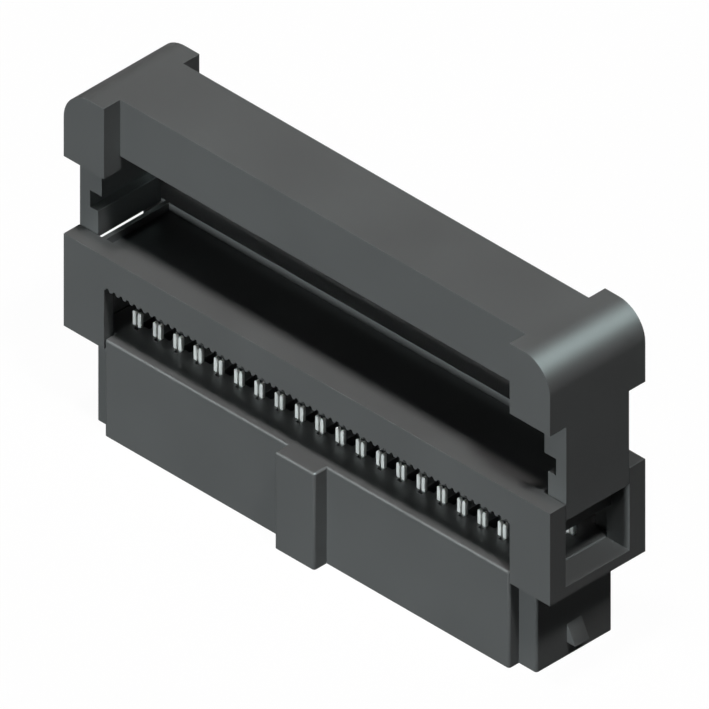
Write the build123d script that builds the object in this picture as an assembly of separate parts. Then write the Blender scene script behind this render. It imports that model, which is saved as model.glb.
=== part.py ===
from build123d import *
import os

# A two-row ribbon-cable socket in its open state, before the cable is pressed
# in: base housing with its contacts, wire cover raised over the contact forks,
# and strain relief standing in the cover's end channels.
# Millimetres. X runs along the rows, Y across them with the keyed front at -Y,
# and Z up from the centre of the mating face.

# Contact field
CONTACT_PITCH = 1.27
ROW_SPACING = 1.27
CONTACTS_PER_ROW = 20
BODY_DEPTH = 5.98

# Clearance all round a piece that slides or drops into another
SLIDE_GAP = 0.03
CONTACT_GAP = 0.02

# Base housing
BASE_HEIGHT = 5.21
BASE_END_REACH = 1.06
BASE_END_INSET = 0.62
CORNER_RADIUS = 0.14
TOP_EDGE_RADIUS = 0.12
KEY_WIDTH = 2.50
KEY_REACH = 0.78
LUG_WIDTH = 0.90
LUG_REACH = 0.52
LUG_UNDERSIDE = 0.72
LUG_HEIGHT = 1.00
CAVITY_FLOOR = 0.55
PIN_ENTRY = 0.48
PIN_ENTRY_MOUTH = 0.80
PIN_ENTRY_LEAD = 0.25
FOOT_WELL_REACH = 0.22
FOOT_WELL_DEPTH = 0.60

# Wire cover
END_BLOCK_LENGTH = 2.53
COVER_HEIGHT = 5.01
COVER_OVERLAP = 0.55
WINDOW_HEIGHT = 2.67
RIBBON_THICKNESS = 0.86
GROOVES_PER_PITCH = 3
GROOVE_WIDTH = 0.28
GROOVE_DEPTH = 0.14
JAMB_THICKNESS = 0.99
CHANNEL_LENGTH = 1.40
LATCH_LEDGE_REACH = 0.23
LATCH_LEDGE_ROOT = 0.45
LATCH_LEDGE_DROP = 0.79
RECESS_DEPTH = 0.42
RECESS_RIM = 1.02
RECESS_END_RIM = 0.25

# Strain relief
RELIEF_TRAVEL = 3.58
SHOULDER_HEIGHT = 3.81
SHOULDER_RADIUS = 1.65
CROSSBAR_HEIGHT = 3.07
LEG_LENGTH = 5.07
LEG_NOTCH_ROOF = 3.03
LEG_NOTCH_HEIGHT = 0.90
LEG_NOTCH_NECK = 0.64
LEG_NOSE_LEAD = 0.74

# Contact, stamped and folded from one strip
SHEET = 0.185
FORK_WIDTH = 0.50
FORK_RISE = 0.74
FORK_SLOT = 0.12
FORK_SLOT_DEPTH = 1.10
FORK_MOUTH = 0.22
FORK_MOUTH_DEPTH = 0.14
FORK_TIP_CHAMFER = 0.05
FORK_DEPTH = 1.85
FORK_ROW_OFFSET = 1.17
PIN_SIZE = 0.40
BEAM_WIDTH = 0.50
STRAP_HEIGHT = 1.00
BEAM_LEAD = 0.12
BEAM_LENGTH = 2.55

# Sizes that follow from the ones above
FIELD_LENGTH = CONTACTS_PER_ROW * CONTACT_PITCH
BODY_LENGTH = FIELD_LENGTH + 2 * END_BLOCK_LENGTH
CORE_LENGTH = FIELD_LENGTH - 2 * SLIDE_GAP
BASE_LENGTH = FIELD_LENGTH + 2 * BASE_END_REACH
BASE_END_DEPTH = BODY_DEPTH - 2 * BASE_END_INSET
COVER_BOTTOM = BASE_HEIGHT - COVER_OVERLAP
COVER_TOP = COVER_BOTTOM + COVER_HEIGHT
COVER_UNDERSIDE = BASE_HEIGHT + WINDOW_HEIGHT
COVER_TRAVEL = WINDOW_HEIGHT - RIBBON_THICKNESS
CHANNEL_WIDTH = BODY_DEPTH - 2 * JAMB_THICKNESS
LEG_DEPTH = CHANNEL_WIDTH - 2 * SLIDE_GAP
LEG_THICKNESS = CHANNEL_LENGTH - SLIDE_GAP
LEG_NOSE_THICKNESS = LEG_THICKNESS - LATCH_LEDGE_REACH
LEG_FOOT = BASE_HEIGHT + RELIEF_TRAVEL
LEG_TOP = LEG_FOOT + LEG_LENGTH
RELIEF_TOP = LEG_TOP + SHOULDER_HEIGHT
FORK_FOOT = BASE_HEIGHT - FORK_DEPTH
FORK_OFFSET = CONTACT_PITCH / 4
BEAM_OFFSET = PIN_SIZE / 2 + SHEET / 2
BEAM_FOOT = FORK_FOOT + SHEET - BEAM_LENGTH


def bar(x, y, z):
    """Return a straight-sided solid that spans three (low, high) pairs."""
    plan = Pos((x[0] + x[1]) / 2, (y[0] + y[1]) / 2, z[0]) * Rectangle(x[1] - x[0], y[1] - y[0])
    return extrude(plan, amount=z[1] - z[0])


def front_profile(points, depth):
    """Return a front-view outline of (x, z) points as a solid centred on Y."""
    outline = make_face(Plane.XZ * Polyline(*points, close=True))
    return extrude(outline, amount=depth / 2, both=True)


def both_ends(piece):
    """Return a piece of the +X end and its half-turn copy at the -X end."""
    return [piece, Rot(0, 0, 180) * piece]


def contact_places():
    """Yield each contact's name and its place: front row first, left to right."""
    first = -(CONTACTS_PER_ROW - 1) * CONTACT_PITCH / 2
    for row, turn in (("front", 0), ("rear", 180)):
        side = -1 if turn == 0 else 1
        for number in range(CONTACTS_PER_ROW):
            x = first + number * CONTACT_PITCH
            yield f"contact_{row}_{number + 1:02d}", Pos(x, side * ROW_SPACING / 2, 0) * Rot(0, 0, turn)


def make_contact():
    """Return one front-row contact about its pin axis: fork, jog and two beams."""
    half = FORK_WIDTH / 2
    slot = FORK_SLOT / 2
    mouth = FORK_MOUTH / 2
    top = BASE_HEIGHT + FORK_RISE
    # The left half of the fork's outline runs from its foot to the slot's end
    left = [
        (-half, FORK_FOOT),
        (-half, top - FORK_TIP_CHAMFER),
        (-half + FORK_TIP_CHAMFER, top),
        (-mouth, top),
        (-slot, top - FORK_MOUTH_DEPTH),
        (-slot, top - FORK_SLOT_DEPTH),
    ]
    right = [(-x, z) for x, z in reversed(left)]
    row = -(FORK_ROW_OFFSET - ROW_SPACING / 2)
    fork = Pos(-FORK_OFFSET, row, 0) * front_profile(left + right, SHEET)

    # The jog carries the strip in from the fork to the pin's outer beam
    jog_top = FORK_FOOT + SHEET
    jog = bar(
        (-BEAM_WIDTH / 2, -FORK_OFFSET + half),
        (row - SHEET / 2, -BEAM_OFFSET + SHEET / 2),
        (FORK_FOOT, jog_top),
    )

    # Two beams face each other across the pin, with a lead-in at their feet
    beam_outline = [
        (-BEAM_OFFSET - SHEET / 2, jog_top),
        (-BEAM_OFFSET - SHEET / 2, BEAM_FOOT),
        (-BEAM_OFFSET + SHEET / 2 - BEAM_LEAD, BEAM_FOOT),
        (-BEAM_OFFSET + SHEET / 2, BEAM_FOOT + 2 * BEAM_LEAD),
        (-BEAM_OFFSET + SHEET / 2, jog_top),
    ]
    beam_face = make_face(Plane.YZ * Polyline(*beam_outline, close=True))
    beam = extrude(beam_face, amount=BEAM_WIDTH / 2, both=True)
    strap = bar(
        (BEAM_WIDTH / 2 - SHEET, BEAM_WIDTH / 2),
        (-BEAM_OFFSET, BEAM_OFFSET),
        (jog_top - STRAP_HEIGHT, jog_top),
    )
    return fork + jog + beam + mirror(beam, about=Plane.XZ) + strap


def make_base():
    """Return the base housing with its key, end lugs and contact cavities."""
    front = -BODY_DEPTH / 2
    plan = RectangleRounded(CORE_LENGTH, BODY_DEPTH, CORNER_RADIUS)
    plan += RectangleRounded(BASE_LENGTH, BASE_END_DEPTH, CORNER_RADIUS)
    plan += Pos(0, front) * RectangleRounded(KEY_WIDTH, 2 * KEY_REACH, CORNER_RADIUS)
    body = extrude(plan, amount=BASE_HEIGHT)
    body = fillet(body.faces().sort_by(Axis.Z)[-1].edges(), TOP_EDGE_RADIUS)

    end = BASE_LENGTH / 2
    lug = front_profile(
        [
            (end, LUG_UNDERSIDE),
            (end + LUG_REACH, LUG_UNDERSIDE),
            (end, LUG_UNDERSIDE + LUG_HEIGHT),
        ],
        LUG_WIDTH,
    )
    body += both_ends(lug)

    # One cavity: a pin chamber, the fork's slot beside it with a small well before
    # the tine on the pin's side, and the pin's entry
    gap = CONTACT_GAP
    chamber_half = BEAM_OFFSET + SHEET / 2 + gap
    row = -(FORK_ROW_OFFSET - ROW_SPACING / 2)
    chamber = bar(
        (-BEAM_WIDTH / 2 - gap, BEAM_WIDTH / 2 + gap),
        (-chamber_half, chamber_half),
        (CAVITY_FLOOR, BASE_HEIGHT),
    )
    fork_slot = bar(
        (-FORK_OFFSET - FORK_WIDTH / 2 - gap, -FORK_OFFSET + FORK_WIDTH / 2 + gap),
        (row - SHEET / 2 - gap, -chamber_half + gap),
        (FORK_FOOT, BASE_HEIGHT),
    )
    well = bar(
        (-FORK_OFFSET, -FORK_OFFSET + FORK_WIDTH / 2 + gap),
        (row - SHEET / 2 - FOOT_WELL_REACH, row),
        (BASE_HEIGHT - FOOT_WELL_DEPTH, BASE_HEIGHT),
    )
    entry_plan = Rectangle(PIN_ENTRY, PIN_ENTRY)
    entry = extrude(entry_plan, amount=CAVITY_FLOOR)
    mouth = loft([Rectangle(PIN_ENTRY_MOUTH, PIN_ENTRY_MOUTH), Pos(0, 0, PIN_ENTRY_LEAD) * entry_plan])
    cavity = chamber + fork_slot + well + entry + mouth
    return body - [place * cavity for _, place in contact_places()]


def make_cover():
    """Return the wire cover: end blocks and a grooved bridge over the forks."""
    half = BODY_LENGTH / 2
    inner = FIELD_LENGTH / 2
    body = front_profile(
        [
            (-half, COVER_BOTTOM),
            (-inner, COVER_BOTTOM),
            (-inner, COVER_UNDERSIDE),
            (inner, COVER_UNDERSIDE),
            (inner, COVER_BOTTOM),
            (half, COVER_BOTTOM),
            (half, COVER_TOP),
            (-half, COVER_TOP),
        ],
        BODY_DEPTH,
    )

    # Wire grooves run front to back under the bridge
    groove_pitch = CONTACT_PITCH / GROOVES_PER_PITCH
    groove = front_profile(
        [
            (-GROOVE_WIDTH / 2, COVER_UNDERSIDE),
            (-GROOVE_WIDTH / 4, COVER_UNDERSIDE + GROOVE_DEPTH),
            (GROOVE_WIDTH / 4, COVER_UNDERSIDE + GROOVE_DEPTH),
            (GROOVE_WIDTH / 2, COVER_UNDERSIDE),
        ],
        BODY_DEPTH,
    )
    places = GridLocations(groove_pitch, 1, CONTACTS_PER_ROW * GROOVES_PER_PITCH, 1)
    body -= [place * groove for place in places]

    # Each end block holds the base's end below and the relief's leg outside
    channel_wall = half - CHANNEL_LENGTH
    base_end = BASE_LENGTH / 2 + SLIDE_GAP
    end_room_half = BASE_END_DEPTH / 2 + SLIDE_GAP
    channel_half = CHANNEL_WIDTH / 2
    end_room = bar((inner, base_end), (-end_room_half, end_room_half), (COVER_BOTTOM, COVER_UNDERSIDE))
    link_room = bar((inner, half), (-channel_half, channel_half), (BASE_HEIGHT, COVER_UNDERSIDE))
    channel = bar((channel_wall, half), (-channel_half, channel_half), (BASE_HEIGHT, COVER_TOP))
    body -= both_ends(end_room) + both_ends(link_room) + both_ends(channel)

    # The ledge that the leg's notch closes over
    ledge = bar(
        (channel_wall - LATCH_LEDGE_ROOT, channel_wall + LATCH_LEDGE_REACH),
        (-channel_half, channel_half),
        (COVER_UNDERSIDE - LATCH_LEDGE_DROP, COVER_UNDERSIDE),
    )
    body += both_ends(ledge)

    recess_half = channel_wall - RECESS_END_RIM
    recess_depth_half = BODY_DEPTH / 2 - RECESS_RIM
    recess = bar(
        (-recess_half, recess_half),
        (-recess_depth_half, recess_depth_half),
        (COVER_TOP - RECESS_DEPTH, COVER_TOP),
    )
    return body - recess


def make_strain_relief():
    """Return the strain relief: crossbar, round-cornered shoulders and legs."""
    half = BODY_LENGTH / 2
    inner = FIELD_LENGTH / 2
    shoulder = bar((inner, half), (-BODY_DEPTH / 2, BODY_DEPTH / 2), (LEG_TOP, RELIEF_TOP))
    corners = shoulder.edges().filter_by(Axis.Y)
    corner = corners.sort_by(lambda edge: edge.center().X + edge.center().Z)[-1]
    shoulder = fillet(corner, SHOULDER_RADIUS)

    notch_roof = LEG_FOOT + LEG_NOTCH_ROOF
    notch_floor = notch_roof - LEG_NOTCH_HEIGHT
    nose = half - LEG_NOSE_THICKNESS
    leg = front_profile(
        [
            (half, LEG_FOOT),
            (half, LEG_TOP),
            (half - LEG_THICKNESS, LEG_TOP),
            (half - LEG_THICKNESS, notch_roof),
            (half - LEG_NOTCH_NECK, notch_roof),
            (half - LEG_NOTCH_NECK, notch_floor),
            (nose, notch_floor),
            (nose, LEG_FOOT + LEG_NOSE_LEAD),
            (nose + LEG_NOSE_LEAD, LEG_FOOT),
        ],
        LEG_DEPTH,
    )
    crossbar = bar(
        (-inner, inner),
        (-LEG_DEPTH / 2, LEG_DEPTH / 2),
        (RELIEF_TOP - CROSSBAR_HEIGHT, RELIEF_TOP),
    )
    return crossbar + both_ends(shoulder) + both_ends(leg)


def main():
    os.makedirs("parts", exist_ok=True)
    export_step(make_base(), "parts/base_housing.step")
    export_step(make_cover(), "parts/wire_cover.step")
    export_step(make_strain_relief(), "parts/strain_relief.step")
    contact = make_contact()
    for name, place in contact_places():
        export_step(place * contact, f"parts/{name}.step")
    print(f"cover travel {COVER_TRAVEL:.3f} mm, strain relief travel {RELIEF_TRAVEL:.3f} mm")


main()
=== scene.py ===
"""Finishes and studio for a two-row ribbon-cable socket, laid out as a Blender add-on."""

from math import cos, radians, sin

import bmesh
import bpy
from bpy.props import FloatProperty, FloatVectorProperty, IntProperty, PointerProperty
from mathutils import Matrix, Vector


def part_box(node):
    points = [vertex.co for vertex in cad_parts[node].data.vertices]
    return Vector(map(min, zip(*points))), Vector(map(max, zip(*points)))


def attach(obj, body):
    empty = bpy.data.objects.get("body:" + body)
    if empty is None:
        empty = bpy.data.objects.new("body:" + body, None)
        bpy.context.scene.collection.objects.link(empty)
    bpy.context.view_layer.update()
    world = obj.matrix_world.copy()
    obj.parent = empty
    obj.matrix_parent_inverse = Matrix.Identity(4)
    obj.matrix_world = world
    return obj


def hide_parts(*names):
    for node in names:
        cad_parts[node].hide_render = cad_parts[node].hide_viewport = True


bl_info = {
    "name": "Ribbon Cable Socket",
    "version": (1, 0, 0),
    "blender": (4, 5, 0),
    "location": "View3D > Sidebar > Socket",
    "description": "Moulded black plastic, tinned contacts and a pale studio for a ribbon-cable socket",
    "category": "Object",
}

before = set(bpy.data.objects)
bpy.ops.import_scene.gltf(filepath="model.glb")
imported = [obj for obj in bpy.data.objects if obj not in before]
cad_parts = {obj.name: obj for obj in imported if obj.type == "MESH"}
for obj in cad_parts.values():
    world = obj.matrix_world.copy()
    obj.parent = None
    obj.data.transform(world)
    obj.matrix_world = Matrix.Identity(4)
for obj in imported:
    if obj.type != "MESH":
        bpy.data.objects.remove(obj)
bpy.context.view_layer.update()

MM = 0.001

# Outward edges sharper than this are rounded, and edges sharper than the second stay creased
CORNER = radians(38)
CREASE = radians(25)

# Two vertices nearer than this are one, and faces flatter than this are joined
MERGE_DISTANCE = 1e-7
FLAT_ANGLE = radians(0.5)

# An edge counts as outside when it is this near the body's outline
OUTLINE_MARGIN = 0.15 * MM

# The cover's walls beside the wire grooves start this far from its middle plane, and the
# grooves' zone reaches this far past them
GROOVE_WALL = 2.5 * MM
GROOVE_MARGIN = OUTLINE_MARGIN / 10
HEIGHT_DIGITS = 7

# Streaks along the fork, as a share of how close they lie across it, and their depth
STREAK_DRAW = 0.06
STREAK_DEPTH = 0.0008 * MM

# Half the floor's side, and the camera's distance and the nearest and farthest that it sees
FLOOR_REACH = 0.4
CAMERA_DISTANCE = 0.15
CAMERA_CLIP = (0.001, 2.0)

# How bright the floor and the room look in a mirrored ray, and how pale the floor's paint is
MIRRORED_WHITE = 0.03
FLOOR_PAINT = 0.05

KEY_TRAVEL = (-0.4745, 0.145, -1.0)

# Each lamp: the setting with its strength, the way its light travels, its spread in degrees
# and its colour
LAMPS = {
    "key_lamp": ("key_strength", KEY_TRAVEL, 7, (1.0, 0.97, 0.96)),
    "overhead_lamp": ("overhead_strength", (0.0, 0.145, -1.0), 7, (1.0, 0.95, 0.94)),
    "front_lamp": ("front_strength", (-0.05, 1.0, -0.066), 6, (0.92, 1.0, 1.02)),
    "rear_lamp": ("rear_strength", (0.35, -1.0, -0.03), 3, (1.0, 1.0, 1.0)),
    "key_glint": ("glint_strength", KEY_TRAVEL, 7, (0.83, 1.0, 1.02)),
    "corner_glint": ("corner_strength", (-0.346, -0.577, -0.74), 48, (0.78, 1.0, 1.0)),
    "edge_glint": ("edge_strength", (0.58, 0.58, -0.58), 40, (0.9, 1.0, 1.0)),
}


class PlasticSettings(bpy.types.PropertyGroup):
    colour: FloatVectorProperty(
        name="Colour",
        description="Colour of the moulded housings",
        subtype="COLOR",
        size=3,
        min=0.0,
        max=1.0,
        default=(0.100, 0.1015, 0.101),
    )
    roughness: FloatProperty(
        name="Roughness",
        description="Mean roughness of the moulded skin",
        subtype="FACTOR",
        min=0.0,
        max=1.0,
        default=0.40,
    )
    edge_radius: FloatProperty(
        name="Edge radius",
        description="Round that the mould leaves on the outside edges",
        subtype="DISTANCE",
        min=0.0,
        max=0.2 * MM,
        default=0.01 * MM,
    )
    edge_segments: IntProperty(
        name="Edge segments",
        description="Faces across each rounded edge",
        min=1,
        max=6,
        default=4,
    )
    grain_size: FloatProperty(
        name="Grain size",
        description="Width of one pit of the spark-eroded mould finish",
        subtype="DISTANCE",
        min=0.005 * MM,
        max=0.5 * MM,
        default=0.045 * MM,
    )
    grain_depth: FloatProperty(
        name="Grain depth",
        description="Depth of the spark-eroded mould finish",
        subtype="DISTANCE",
        min=0.0,
        max=0.05 * MM,
        default=0.0016 * MM,
    )


class ContactSettings(bpy.types.PropertyGroup):
    colour: FloatVectorProperty(
        name="Colour",
        description="Colour of the tin plating",
        subtype="COLOR",
        size=3,
        min=0.0,
        max=1.0,
        default=(0.80, 0.80, 0.78),
    )
    roughness: FloatProperty(
        name="Roughness",
        description="Mean roughness of the tin plating",
        subtype="FACTOR",
        min=0.0,
        max=1.0,
        default=0.55,
    )
    metal: FloatProperty(
        name="Metal",
        description="Share of the surface that shines as bare metal, where the rest is dull tin",
        subtype="FACTOR",
        min=0.0,
        max=1.0,
        default=0.45,
    )
    edge_radius: FloatProperty(
        name="Edge radius",
        description="Round that stamping and tumbling leave on the strip's edges",
        subtype="DISTANCE",
        min=0.0,
        max=0.05 * MM,
        default=0.014 * MM,
    )
    edge_segments: IntProperty(
        name="Edge segments",
        description="Faces across each rounded edge",
        min=1,
        max=6,
        default=2,
    )
    streak_width: FloatProperty(
        name="Streak width",
        description="Width of one rolling streak in the strip",
        subtype="DISTANCE",
        min=0.005 * MM,
        max=0.5 * MM,
        default=0.03 * MM,
    )


class StageSettings(bpy.types.PropertyGroup):
    azimuth: FloatProperty(
        name="Azimuth",
        description="Angle of the camera from the keyed front towards the right end",
        subtype="ANGLE",
        default=radians(45.0),
    )
    elevation: FloatProperty(
        name="Elevation",
        description="Angle of the camera above the floor",
        subtype="ANGLE",
        default=radians(35.264),
    )
    view_width: FloatProperty(
        name="View width",
        description="Width that the picture covers",
        subtype="DISTANCE",
        default=31.395 * MM,
    )
    aim: FloatVectorProperty(
        name="Aim",
        description="Point that the camera looks at",
        subtype="TRANSLATION",
        size=3,
        default=(0.0, 0.0, 9.214 * MM),
    )
    key_strength: FloatProperty(
        name="Key strength",
        description="Lamp above the right end, in watts for each square metre",
        default=1.22,
    )
    glint_strength: FloatProperty(
        name="Glint strength",
        description="Shine that the key lamp leaves, in watts for each square metre",
        default=22.0,
    )
    corner_strength: FloatProperty(
        name="Corner strength",
        description="Shine on the strain relief's right shoulder, in watts for each square metre",
        default=4.5,
    )
    edge_strength: FloatProperty(
        name="Edge strength",
        description="Shine on the edges that face the camera, in watts for each square metre",
        default=3.0,
    )
    overhead_strength: FloatProperty(
        name="Overhead strength",
        description="Lamp above the socket, in watts for each square metre",
        default=1.20,
    )
    front_strength: FloatProperty(
        name="Front strength",
        description="Lamp level with the keyed front, in watts for each square metre",
        default=2.25,
    )
    rear_strength: FloatProperty(
        name="Rear strength",
        description="Lamp level with the rear, in watts for each square metre",
        default=1.3,
    )
    room_light: FloatProperty(
        name="Room light",
        description="Light from all round that reaches the shadows",
        default=0.012,
    )
    floor_shadow: FloatProperty(
        name="Floor shadow",
        description="Share of the floor's white that the socket's shadow takes away",
        subtype="FACTOR",
        min=0.0,
        max=1.0,
        default=0.03,
    )


def settings(group):
    return getattr(bpy.context.scene, "socket_" + group)


def place_node(tree, kind, place, **values):
    """Adds one shader node and sets its properties."""
    node = tree.nodes.new(kind)
    node.location = (place[0] * 200, place[1] * 160)
    for name, value in values.items():
        setattr(node, name, value)
    return node


def new_group(name, inputs, outputs):
    """Starts a shader node group with float or vector sockets and its two end nodes."""
    tree = bpy.data.node_groups.new(name, "ShaderNodeTree")
    for socket, kind, default in inputs:
        item = tree.interface.new_socket(socket, in_out="INPUT", socket_type=kind)
        if default is not None:
            item.default_value = default
    for socket, kind in outputs:
        tree.interface.new_socket(socket, in_out="OUTPUT", socket_type=kind)
    start = place_node(tree, "NodeGroupInput", (-5, 0))
    end = place_node(tree, "NodeGroupOutput", (3, 0))
    return tree, start, end


def spark_grain_group():
    """Shallow pits of a spark-eroded mould wall, as a height and a mask of the pits."""
    tree, start, end = new_group(
        "spark_eroded_grain",
        [("Vector", "NodeSocketVector", None), ("Pit Size", "NodeSocketFloat", 0.05)],
        [("Height", "NodeSocketFloat"), ("Pits", "NodeSocketFloat")],
    )
    millimetres = place_node(tree, "ShaderNodeVectorMath", (-4, 1), operation="SCALE")
    millimetres.inputs["Scale"].default_value = 1 / MM
    pits_each = place_node(tree, "ShaderNodeMath", (-4, -1), operation="DIVIDE")
    pits_each.inputs[0].default_value = 1.0
    pits = place_node(tree, "ShaderNodeTexVoronoi", (-2, 1), feature="SMOOTH_F1")
    pits.inputs["Smoothness"].default_value = 0.6
    mottle = place_node(tree, "ShaderNodeTexNoise", (-2, -1))
    mottle.inputs["Detail"].default_value = 3.0
    mottle.inputs["Roughness"].default_value = 0.6
    both = place_node(tree, "ShaderNodeMath", (0, 0), operation="ADD")
    soft = place_node(tree, "ShaderNodeMapRange", (1, -1))
    soft.inputs["From Min"].default_value = 0.35
    soft.inputs["From Max"].default_value = 0.65
    tree.links.new(start.outputs["Vector"], millimetres.inputs[0])
    tree.links.new(start.outputs["Pit Size"], pits_each.inputs[1])
    for texture in (pits, mottle):
        tree.links.new(millimetres.outputs[0], texture.inputs["Vector"])
        tree.links.new(pits_each.outputs[0], texture.inputs["Scale"])
    tree.links.new(pits.outputs["Distance"], both.inputs[0])
    tree.links.new(mottle.outputs["Fac"], both.inputs[1])
    tree.links.new(mottle.outputs["Fac"], soft.inputs["Value"])
    tree.links.new(both.outputs[0], end.inputs["Height"])
    tree.links.new(soft.outputs[0], end.inputs["Pits"])
    return tree


def tone_group():
    """Slow drift of tone over a surface, which tints a colour and shifts a roughness."""
    tree, start, end = new_group(
        "surface_tone",
        [
            ("Vector", "NodeSocketVector", None),
            ("Patch Size", "NodeSocketFloat", 4.0),
            ("Dark", "NodeSocketColor", (0.09, 0.09, 0.09, 1.0)),
            ("Light", "NodeSocketColor", (0.11, 0.11, 0.11, 1.0)),
            ("Smooth", "NodeSocketFloat", 0.4),
            ("Rough", "NodeSocketFloat", 0.5),
        ],
        [("Color", "NodeSocketColor"), ("Roughness", "NodeSocketFloat")],
    )
    millimetres = place_node(tree, "ShaderNodeVectorMath", (-4, 1), operation="SCALE")
    millimetres.inputs["Scale"].default_value = 1 / MM
    patches_each = place_node(tree, "ShaderNodeMath", (-4, -1), operation="DIVIDE")
    patches_each.inputs[0].default_value = 1.0
    drift = place_node(tree, "ShaderNodeTexNoise", (-2, 0))
    drift.inputs["Detail"].default_value = 2.0
    spread = place_node(tree, "ShaderNodeMapRange", (-1, 0))
    spread.inputs["From Min"].default_value = 0.3
    spread.inputs["From Max"].default_value = 0.7
    tint = place_node(tree, "ShaderNodeMix", (1, 1), data_type="RGBA")
    polish = place_node(tree, "ShaderNodeMix", (1, -1), data_type="FLOAT")
    tree.links.new(start.outputs["Vector"], millimetres.inputs[0])
    tree.links.new(start.outputs["Patch Size"], patches_each.inputs[1])
    tree.links.new(millimetres.outputs[0], drift.inputs["Vector"])
    tree.links.new(patches_each.outputs[0], drift.inputs["Scale"])
    tree.links.new(drift.outputs["Fac"], spread.inputs["Value"])
    for mix in (tint, polish):
        tree.links.new(spread.outputs[0], mix.inputs["Factor"])
    tree.links.new(start.outputs["Dark"], tint.inputs["A"])
    tree.links.new(start.outputs["Light"], tint.inputs["B"])
    tree.links.new(start.outputs["Smooth"], polish.inputs["A"])
    tree.links.new(start.outputs["Rough"], polish.inputs["B"])
    tree.links.new(tint.outputs["Result"], end.inputs["Color"])
    tree.links.new(polish.outputs["Result"], end.inputs["Roughness"])
    return tree


def shader_group(name, build):
    """Returns the named node group, built once."""
    return bpy.data.node_groups.get(name) or build()


def new_material(name):
    """Starts a material with one Principled BSDF and Object coordinates."""
    material = bpy.data.materials.new(name)
    material.use_nodes = True
    tree = material.node_tree
    tree.nodes.clear()
    output = place_node(tree, "ShaderNodeOutputMaterial", (4, 0))
    surface = place_node(tree, "ShaderNodeBsdfPrincipled", (2, 0))
    tree.links.new(surface.outputs["BSDF"], output.inputs["Surface"])
    place = place_node(tree, "ShaderNodeTexCoord", (-6, 0))
    return material, tree, surface, place


def shade(colour, factor):
    """Scales a colour and gives it the alpha that a colour socket needs."""
    return (*(min(1.0, channel * factor) for channel in colour), 1.0)


def tone_node(tree, place, spot, patch, colour, spread, roughness, drift):
    """Places the tone group round one colour and one roughness."""
    group = shader_group("surface_tone", tone_group)
    tone = place_node(tree, "ShaderNodeGroup", spot, node_tree=group)
    tone.inputs["Patch Size"].default_value = patch
    tone.inputs["Dark"].default_value = shade(colour, 1 - spread)
    tone.inputs["Light"].default_value = shade(colour, 1 + spread)
    tone.inputs["Smooth"].default_value = roughness - drift
    tone.inputs["Rough"].default_value = roughness + drift
    tree.links.new(place, tone.inputs["Vector"])
    return tone


def moulded_plastic():
    """Glass-filled black plastic with the fine matt skin of its mould."""
    found = bpy.data.materials.get("moulded_plastic")
    if found:
        return found
    plastic = settings("plastic")
    material, tree, surface, place = new_material("moulded_plastic")
    surface.inputs["Specular IOR Level"].default_value = 0.32
    surface.inputs["IOR"].default_value = 1.5
    where = place.outputs["Object"]
    tone = tone_node(
        tree,
        where,
        spot=(-3, 1),
        patch=5.0,
        colour=plastic.colour,
        spread=0.035,
        roughness=plastic.roughness,
        drift=0.03,
    )
    tree.links.new(tone.outputs["Color"], surface.inputs["Base Color"])
    group = shader_group("spark_eroded_grain", spark_grain_group)
    grain = place_node(tree, "ShaderNodeGroup", (-3, -2), node_tree=group)
    grain.inputs["Pit Size"].default_value = plastic.grain_size / MM
    tree.links.new(where, grain.inputs["Vector"])
    rough = place_node(tree, "ShaderNodeMath", (0, 0), operation="MULTIPLY_ADD")
    rough.inputs[1].default_value = 0.05
    tree.links.new(grain.outputs["Pits"], rough.inputs[0])
    tree.links.new(tone.outputs["Roughness"], rough.inputs[2])
    tree.links.new(rough.outputs[0], surface.inputs["Roughness"])
    bump = place_node(tree, "ShaderNodeBump", (0, -2))
    bump.inputs["Distance"].default_value = plastic.grain_depth
    tree.links.new(grain.outputs["Height"], bump.inputs["Height"])
    tree.links.new(bump.outputs["Normal"], surface.inputs["Normal"])
    return material


def tinned_strip():
    """Matt tin over rolled copper alloy, with faint streaks along the fork."""
    found = bpy.data.materials.get("tinned_strip")
    if found:
        return found
    contact = settings("contact")
    material, tree, surface, place = new_material("tinned_strip")
    surface.inputs["Metallic"].default_value = contact.metal
    where = place.outputs["Object"]
    tone = tone_node(
        tree,
        where,
        spot=(-3, 1),
        patch=0.5,
        colour=contact.colour,
        spread=0.05,
        roughness=contact.roughness,
        drift=0.05,
    )
    tree.links.new(tone.outputs["Color"], surface.inputs["Base Color"])
    tree.links.new(tone.outputs["Roughness"], surface.inputs["Roughness"])
    stretch = place_node(tree, "ShaderNodeMapping", (-4, -2))
    stretch.inputs["Scale"].default_value = (1 / MM, 1 / MM, STREAK_DRAW / MM)
    streaks = place_node(tree, "ShaderNodeTexNoise", (-2, -2))
    streaks.inputs["Scale"].default_value = MM / contact.streak_width
    streaks.inputs["Detail"].default_value = 3.0
    bump = place_node(tree, "ShaderNodeBump", (0, -2))
    bump.inputs["Distance"].default_value = STREAK_DEPTH
    tree.links.new(where, stretch.inputs["Vector"])
    tree.links.new(stretch.outputs["Vector"], streaks.inputs["Vector"])
    tree.links.new(streaks.outputs["Fac"], bump.inputs["Height"])
    tree.links.new(bump.outputs["Normal"], surface.inputs["Normal"])
    return material


def joined_copy(node):
    """Returns a bmesh of a CAD node with its triangles joined into whole faces."""
    mesh = bmesh.new()
    mesh.from_mesh(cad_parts[node].data)
    bmesh.ops.remove_doubles(mesh, verts=mesh.verts[:], dist=MERGE_DISTANCE)
    bmesh.ops.dissolve_limit(mesh, angle_limit=FLAT_ANGLE, verts=mesh.verts[:], edges=mesh.edges[:])
    return mesh


def round_edges(mesh, edges, radius, segments):
    """Rounds the given edges."""
    bmesh.ops.bevel(
        mesh,
        geom=edges,
        offset=radius,
        offset_type="OFFSET",
        affect="EDGES",
        segments=segments,
        profile=0.5,
        material=-1,
        clamp_overlap=False,
    )


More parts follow.
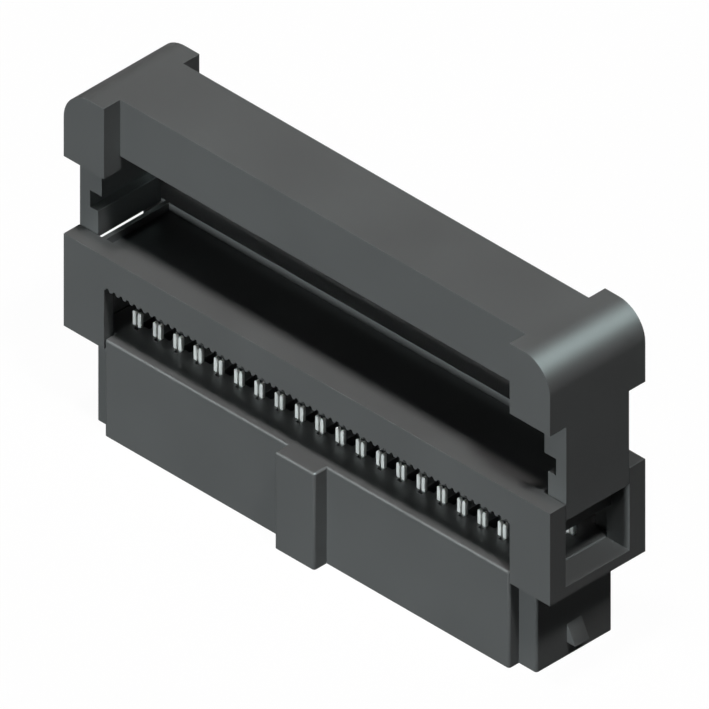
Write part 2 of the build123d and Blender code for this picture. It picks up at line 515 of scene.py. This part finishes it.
def middle(edge):
    return (edge.verts[0].co + edge.verts[1].co) / 2


def is_corner(edge):
    """Whether an edge is an outward corner that a mould or a punch leaves rounded."""
    return edge.is_manifold and edge.is_convex and edge.calc_face_angle() > CORNER


def finish_piece(mesh, name, material, body, node):
    """Turns a bmesh into a smooth-shaded piece that stands for its CAD node."""
    for face in mesh.faces:
        face.smooth = True
    for edge in mesh.edges:
        edge.smooth = edge.is_manifold and edge.calc_face_angle() < CREASE
    data = bpy.data.meshes.new(name)
    mesh.to_mesh(data)
    mesh.free()
    data.materials.append(material)
    piece = bpy.data.objects.new(name, data)
    bpy.context.scene.collection.objects.link(piece)
    weighted = piece.modifiers.new("even_shading", "WEIGHTED_NORMAL")
    weighted.keep_sharp = True
    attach(piece, body)
    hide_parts(node)
    return piece


class SOCKET_OT_mould_base(bpy.types.Operator):
    """Finish the base housing with its outline rounded and its contact cavities crisp"""

    bl_idname = "socket.mould_base"
    bl_label = "Mould Base Housing"

    def execute(self, context):
        plastic = settings("plastic")
        cover_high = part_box("wire_cover")[1]
        mesh = joined_copy("base_housing")
        outline_depth = cover_high.y - OUTLINE_MARGIN
        end_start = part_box("contact_front_20")[1].x + OUTLINE_MARGIN

        def outside(edge):
            spot = middle(edge)
            return abs(spot.y) > outline_depth or abs(spot.x) > end_start

        corners = [edge for edge in mesh.edges if is_corner(edge) and outside(edge)]
        round_edges(mesh, corners, plastic.edge_radius, plastic.edge_segments)
        finish_piece(mesh, "base_moulding", moulded_plastic(), "base", "base_housing")
        return {"FINISHED"}


class SOCKET_OT_mould_cover(bpy.types.Operator):
    """Finish the wire cover with its edges rounded, apart from the wire grooves"""

    bl_idname = "socket.mould_cover"
    bl_label = "Mould Wire Cover"

    def execute(self, context):
        plastic = settings("plastic")
        mesh = joined_copy("wire_cover")
        low, high = groove_heights()
        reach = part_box("contact_front_20")[1].x + 2 * OUTLINE_MARGIN

        def in_grooves(edge):
            spot = middle(edge)
            return low < spot.z < high and abs(spot.x) < reach

        corners = [edge for edge in mesh.edges if is_corner(edge) and not in_grooves(edge)]
        round_edges(mesh, corners, plastic.edge_radius, plastic.edge_segments)
        finish_piece(mesh, "cover_moulding", moulded_plastic(), "cover", "wire_cover")
        return {"FINISHED"}


def groove_heights():
    """Returns the lowest and highest place of the cover's wire grooves."""
    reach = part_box("contact_front_20")[1].x
    points = [vertex.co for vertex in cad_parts["wire_cover"].data.vertices]
    heights = [spot.z for spot in points if abs(spot.x) < reach and abs(spot.y) > GROOVE_WALL]
    underside = min(heights)
    groove_top = sorted(set(round(height, HEIGHT_DIGITS) for height in heights))[1]
    return underside - GROOVE_MARGIN, groove_top + GROOVE_MARGIN


class SOCKET_OT_mould_strain_relief(bpy.types.Operator):
    """Finish the strain relief with every outward corner rounded"""

    bl_idname = "socket.mould_strain_relief"
    bl_label = "Mould Strain Relief"

    def execute(self, context):
        plastic = settings("plastic")
        mesh = joined_copy("strain_relief")
        corners = [edge for edge in mesh.edges if is_corner(edge)]
        round_edges(mesh, corners, plastic.edge_radius, plastic.edge_segments)
        finish_piece(
            mesh, "strain_relief_moulding", moulded_plastic(), "relief", "strain_relief"
        )
        return {"FINISHED"}


class SOCKET_OT_stamp_contacts(bpy.types.Operator):
    """Finish the stamped contacts with tumbled edges and tin plating"""

    bl_idname = "socket.stamp_contacts"
    bl_label = "Stamp Contacts"

    def execute(self, context):
        contact = settings("contact")
        for node in sorted(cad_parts):
            if not node.startswith("contact_"):
                continue
            mesh = joined_copy(node)
            corners = [edge for edge in mesh.edges if is_corner(edge)]
            round_edges(mesh, corners, contact.edge_radius, contact.edge_segments)
            finish_piece(mesh, "tinned_" + node, tinned_strip(), "base", node)
        return {"FINISHED"}


def sun(name, travel, strength, spread, colour):
    """Adds a lamp whose light travels one way everywhere."""
    lamp = bpy.data.lights.new(name, "SUN")
    lamp.energy = strength
    lamp.angle = spread
    lamp.color = colour
    holder = bpy.data.objects.new(name, lamp)
    holder.rotation_euler = Vector(travel).to_track_quat("-Z", "Y").to_euler()
    bpy.context.scene.collection.objects.link(holder)
    return holder


def ray_strength(tree, camera, mirror, rest):
    """Returns one value for camera rays, one for mirrored or bent rays and one for the rest."""
    path = place_node(tree, "ShaderNodeLightPath", (-5, 0))
    clear = place_node(tree, "ShaderNodeMath", (-4, -1), operation="MAXIMUM")
    tree.links.new(path.outputs["Is Glossy Ray"], clear.inputs[0])
    tree.links.new(path.outputs["Is Transmission Ray"], clear.inputs[1])
    seen = place_node(tree, "ShaderNodeMix", (-3, -1), data_type="FLOAT")
    seen.inputs["A"].default_value = rest
    seen.inputs["B"].default_value = mirror
    tree.links.new(clear.outputs[0], seen.inputs["Factor"])
    final = place_node(tree, "ShaderNodeMix", (-2, 0), data_type="FLOAT")
    final.inputs["B"].default_value = camera
    tree.links.new(path.outputs["Is Camera Ray"], final.inputs["Factor"])
    tree.links.new(seen.outputs["Result"], final.inputs["A"])
    return final.outputs["Result"]


def floor_material(shadow):
    """White floor that keeps a faint shadow and lights the object little from below."""
    material = bpy.data.materials.new("studio_floor")
    material.use_nodes = True
    tree = material.node_tree
    tree.nodes.clear()
    output = place_node(tree, "ShaderNodeOutputMaterial", (2, 0))
    both = place_node(tree, "ShaderNodeAddShader", (1, 0))
    glow = place_node(tree, "ShaderNodeEmission", (0, 1))
    paint = place_node(tree, "ShaderNodeBsdfDiffuse", (0, -1))
    white = ray_strength(tree, camera=1 - shadow, mirror=MIRRORED_WHITE, rest=0.0)
    grey = ray_strength(tree, camera=shadow, mirror=FLOOR_PAINT, rest=FLOOR_PAINT)
    tree.links.new(white, glow.inputs["Strength"])
    tree.links.new(grey, paint.inputs["Color"])
    tree.links.new(glow.outputs[0], both.inputs[0])
    tree.links.new(paint.outputs[0], both.inputs[1])
    tree.links.new(both.outputs[0], output.inputs["Surface"])
    return material


class SOCKET_OT_light_stage(bpy.types.Operator):
    """Set the floor, the lamps, the room and the camera"""

    bl_idname = "socket.light_stage"
    bl_label = "Light Stage"

    def execute(self, context):
        stage = settings("stage")
        mesh = bmesh.new()
        bmesh.ops.create_grid(mesh, x_segments=1, y_segments=1, size=FLOOR_REACH)
        data = bpy.data.meshes.new("floor")
        mesh.to_mesh(data)
        mesh.free()
        floor = bpy.data.objects.new("floor", data)
        data.materials.append(floor_material(stage.floor_shadow))
        context.scene.collection.objects.link(floor)

        for name, (strength, travel, spread, colour) in LAMPS.items():
            lamp = sun(name, travel, getattr(stage, strength), radians(spread), colour)
            lamp.visible_diffuse = not name.endswith("_glint")
        shoulders = bpy.data.collections.new("shoulders")
        shoulders.objects.link(bpy.data.objects["strain_relief_moulding"])
        bpy.data.objects["corner_glint"].light_linking.receiver_collection = shoulders

        world = bpy.data.worlds.new("studio")
        context.scene.world = world
        world.use_nodes = True
        tree = world.node_tree
        tree.nodes.clear()
        output = place_node(tree, "ShaderNodeOutputWorld", (1, 0))
        room = place_node(tree, "ShaderNodeBackground", (0, 0))
        white = ray_strength(tree, camera=1.0, mirror=MIRRORED_WHITE, rest=stage.room_light)
        tree.links.new(white, room.inputs["Strength"])
        tree.links.new(room.outputs[0], output.inputs["Surface"])

        back = Vector(
            (
                sin(stage.azimuth) * cos(stage.elevation),
                -cos(stage.azimuth) * cos(stage.elevation),
                sin(stage.elevation),
            )
        )
        lens = bpy.data.cameras.new("camera")
        lens.type = "ORTHO"
        lens.ortho_scale = stage.view_width
        lens.clip_start, lens.clip_end = CAMERA_CLIP
        camera = bpy.data.objects.new("camera", lens)
        camera.location = Vector(stage.aim) + CAMERA_DISTANCE * back
        camera.rotation_euler = (-back).to_track_quat("-Z", "Y").to_euler()
        context.scene.collection.objects.link(camera)
        context.scene.camera = camera
        context.scene.view_settings.view_transform = "Standard"
        return {"FINISHED"}


class SOCKET_PT_panel(bpy.types.Panel):
    """Sizes, colours and steps of the ribbon-cable socket"""

    bl_idname = "SOCKET_PT_panel"
    bl_label = "Ribbon Cable Socket"
    bl_space_type = "VIEW_3D"
    bl_region_type = "UI"
    bl_category = "Socket"

    def draw(self, context):
        for group, steps in PANEL_STEPS.items():
            box = self.layout.box()
            values = settings(group)
            for name in values.bl_rna.properties.keys():
                if name not in ("rna_type", "name"):
                    box.prop(values, name)
            for step in steps:
                box.operator(step.bl_idname)


PANEL_STEPS = {
    "plastic": (SOCKET_OT_mould_base, SOCKET_OT_mould_cover, SOCKET_OT_mould_strain_relief),
    "contact": (SOCKET_OT_stamp_contacts,),
    "stage": (SOCKET_OT_light_stage,),
}

SETTING_GROUPS = {"plastic": PlasticSettings, "contact": ContactSettings, "stage": StageSettings}

CLASSES = (
    *SETTING_GROUPS.values(),
    SOCKET_OT_mould_base,
    SOCKET_OT_mould_cover,
    SOCKET_OT_mould_strain_relief,
    SOCKET_OT_stamp_contacts,
    SOCKET_OT_light_stage,
    SOCKET_PT_panel,
)


def register():
    for item in CLASSES:
        bpy.utils.register_class(item)
    for group, kind in SETTING_GROUPS.items():
        setattr(bpy.types.Scene, "socket_" + group, PointerProperty(type=kind))


def unregister():
    for group in SETTING_GROUPS:
        delattr(bpy.types.Scene, "socket_" + group)
    for item in reversed(CLASSES):
        bpy.utils.unregister_class(item)


def main():
    register()
    bpy.ops.socket.mould_base()
    bpy.ops.socket.mould_cover()
    bpy.ops.socket.mould_strain_relief()
    bpy.ops.socket.stamp_contacts()
    bpy.ops.socket.light_stage()


if __name__ == "__main__":
    main()
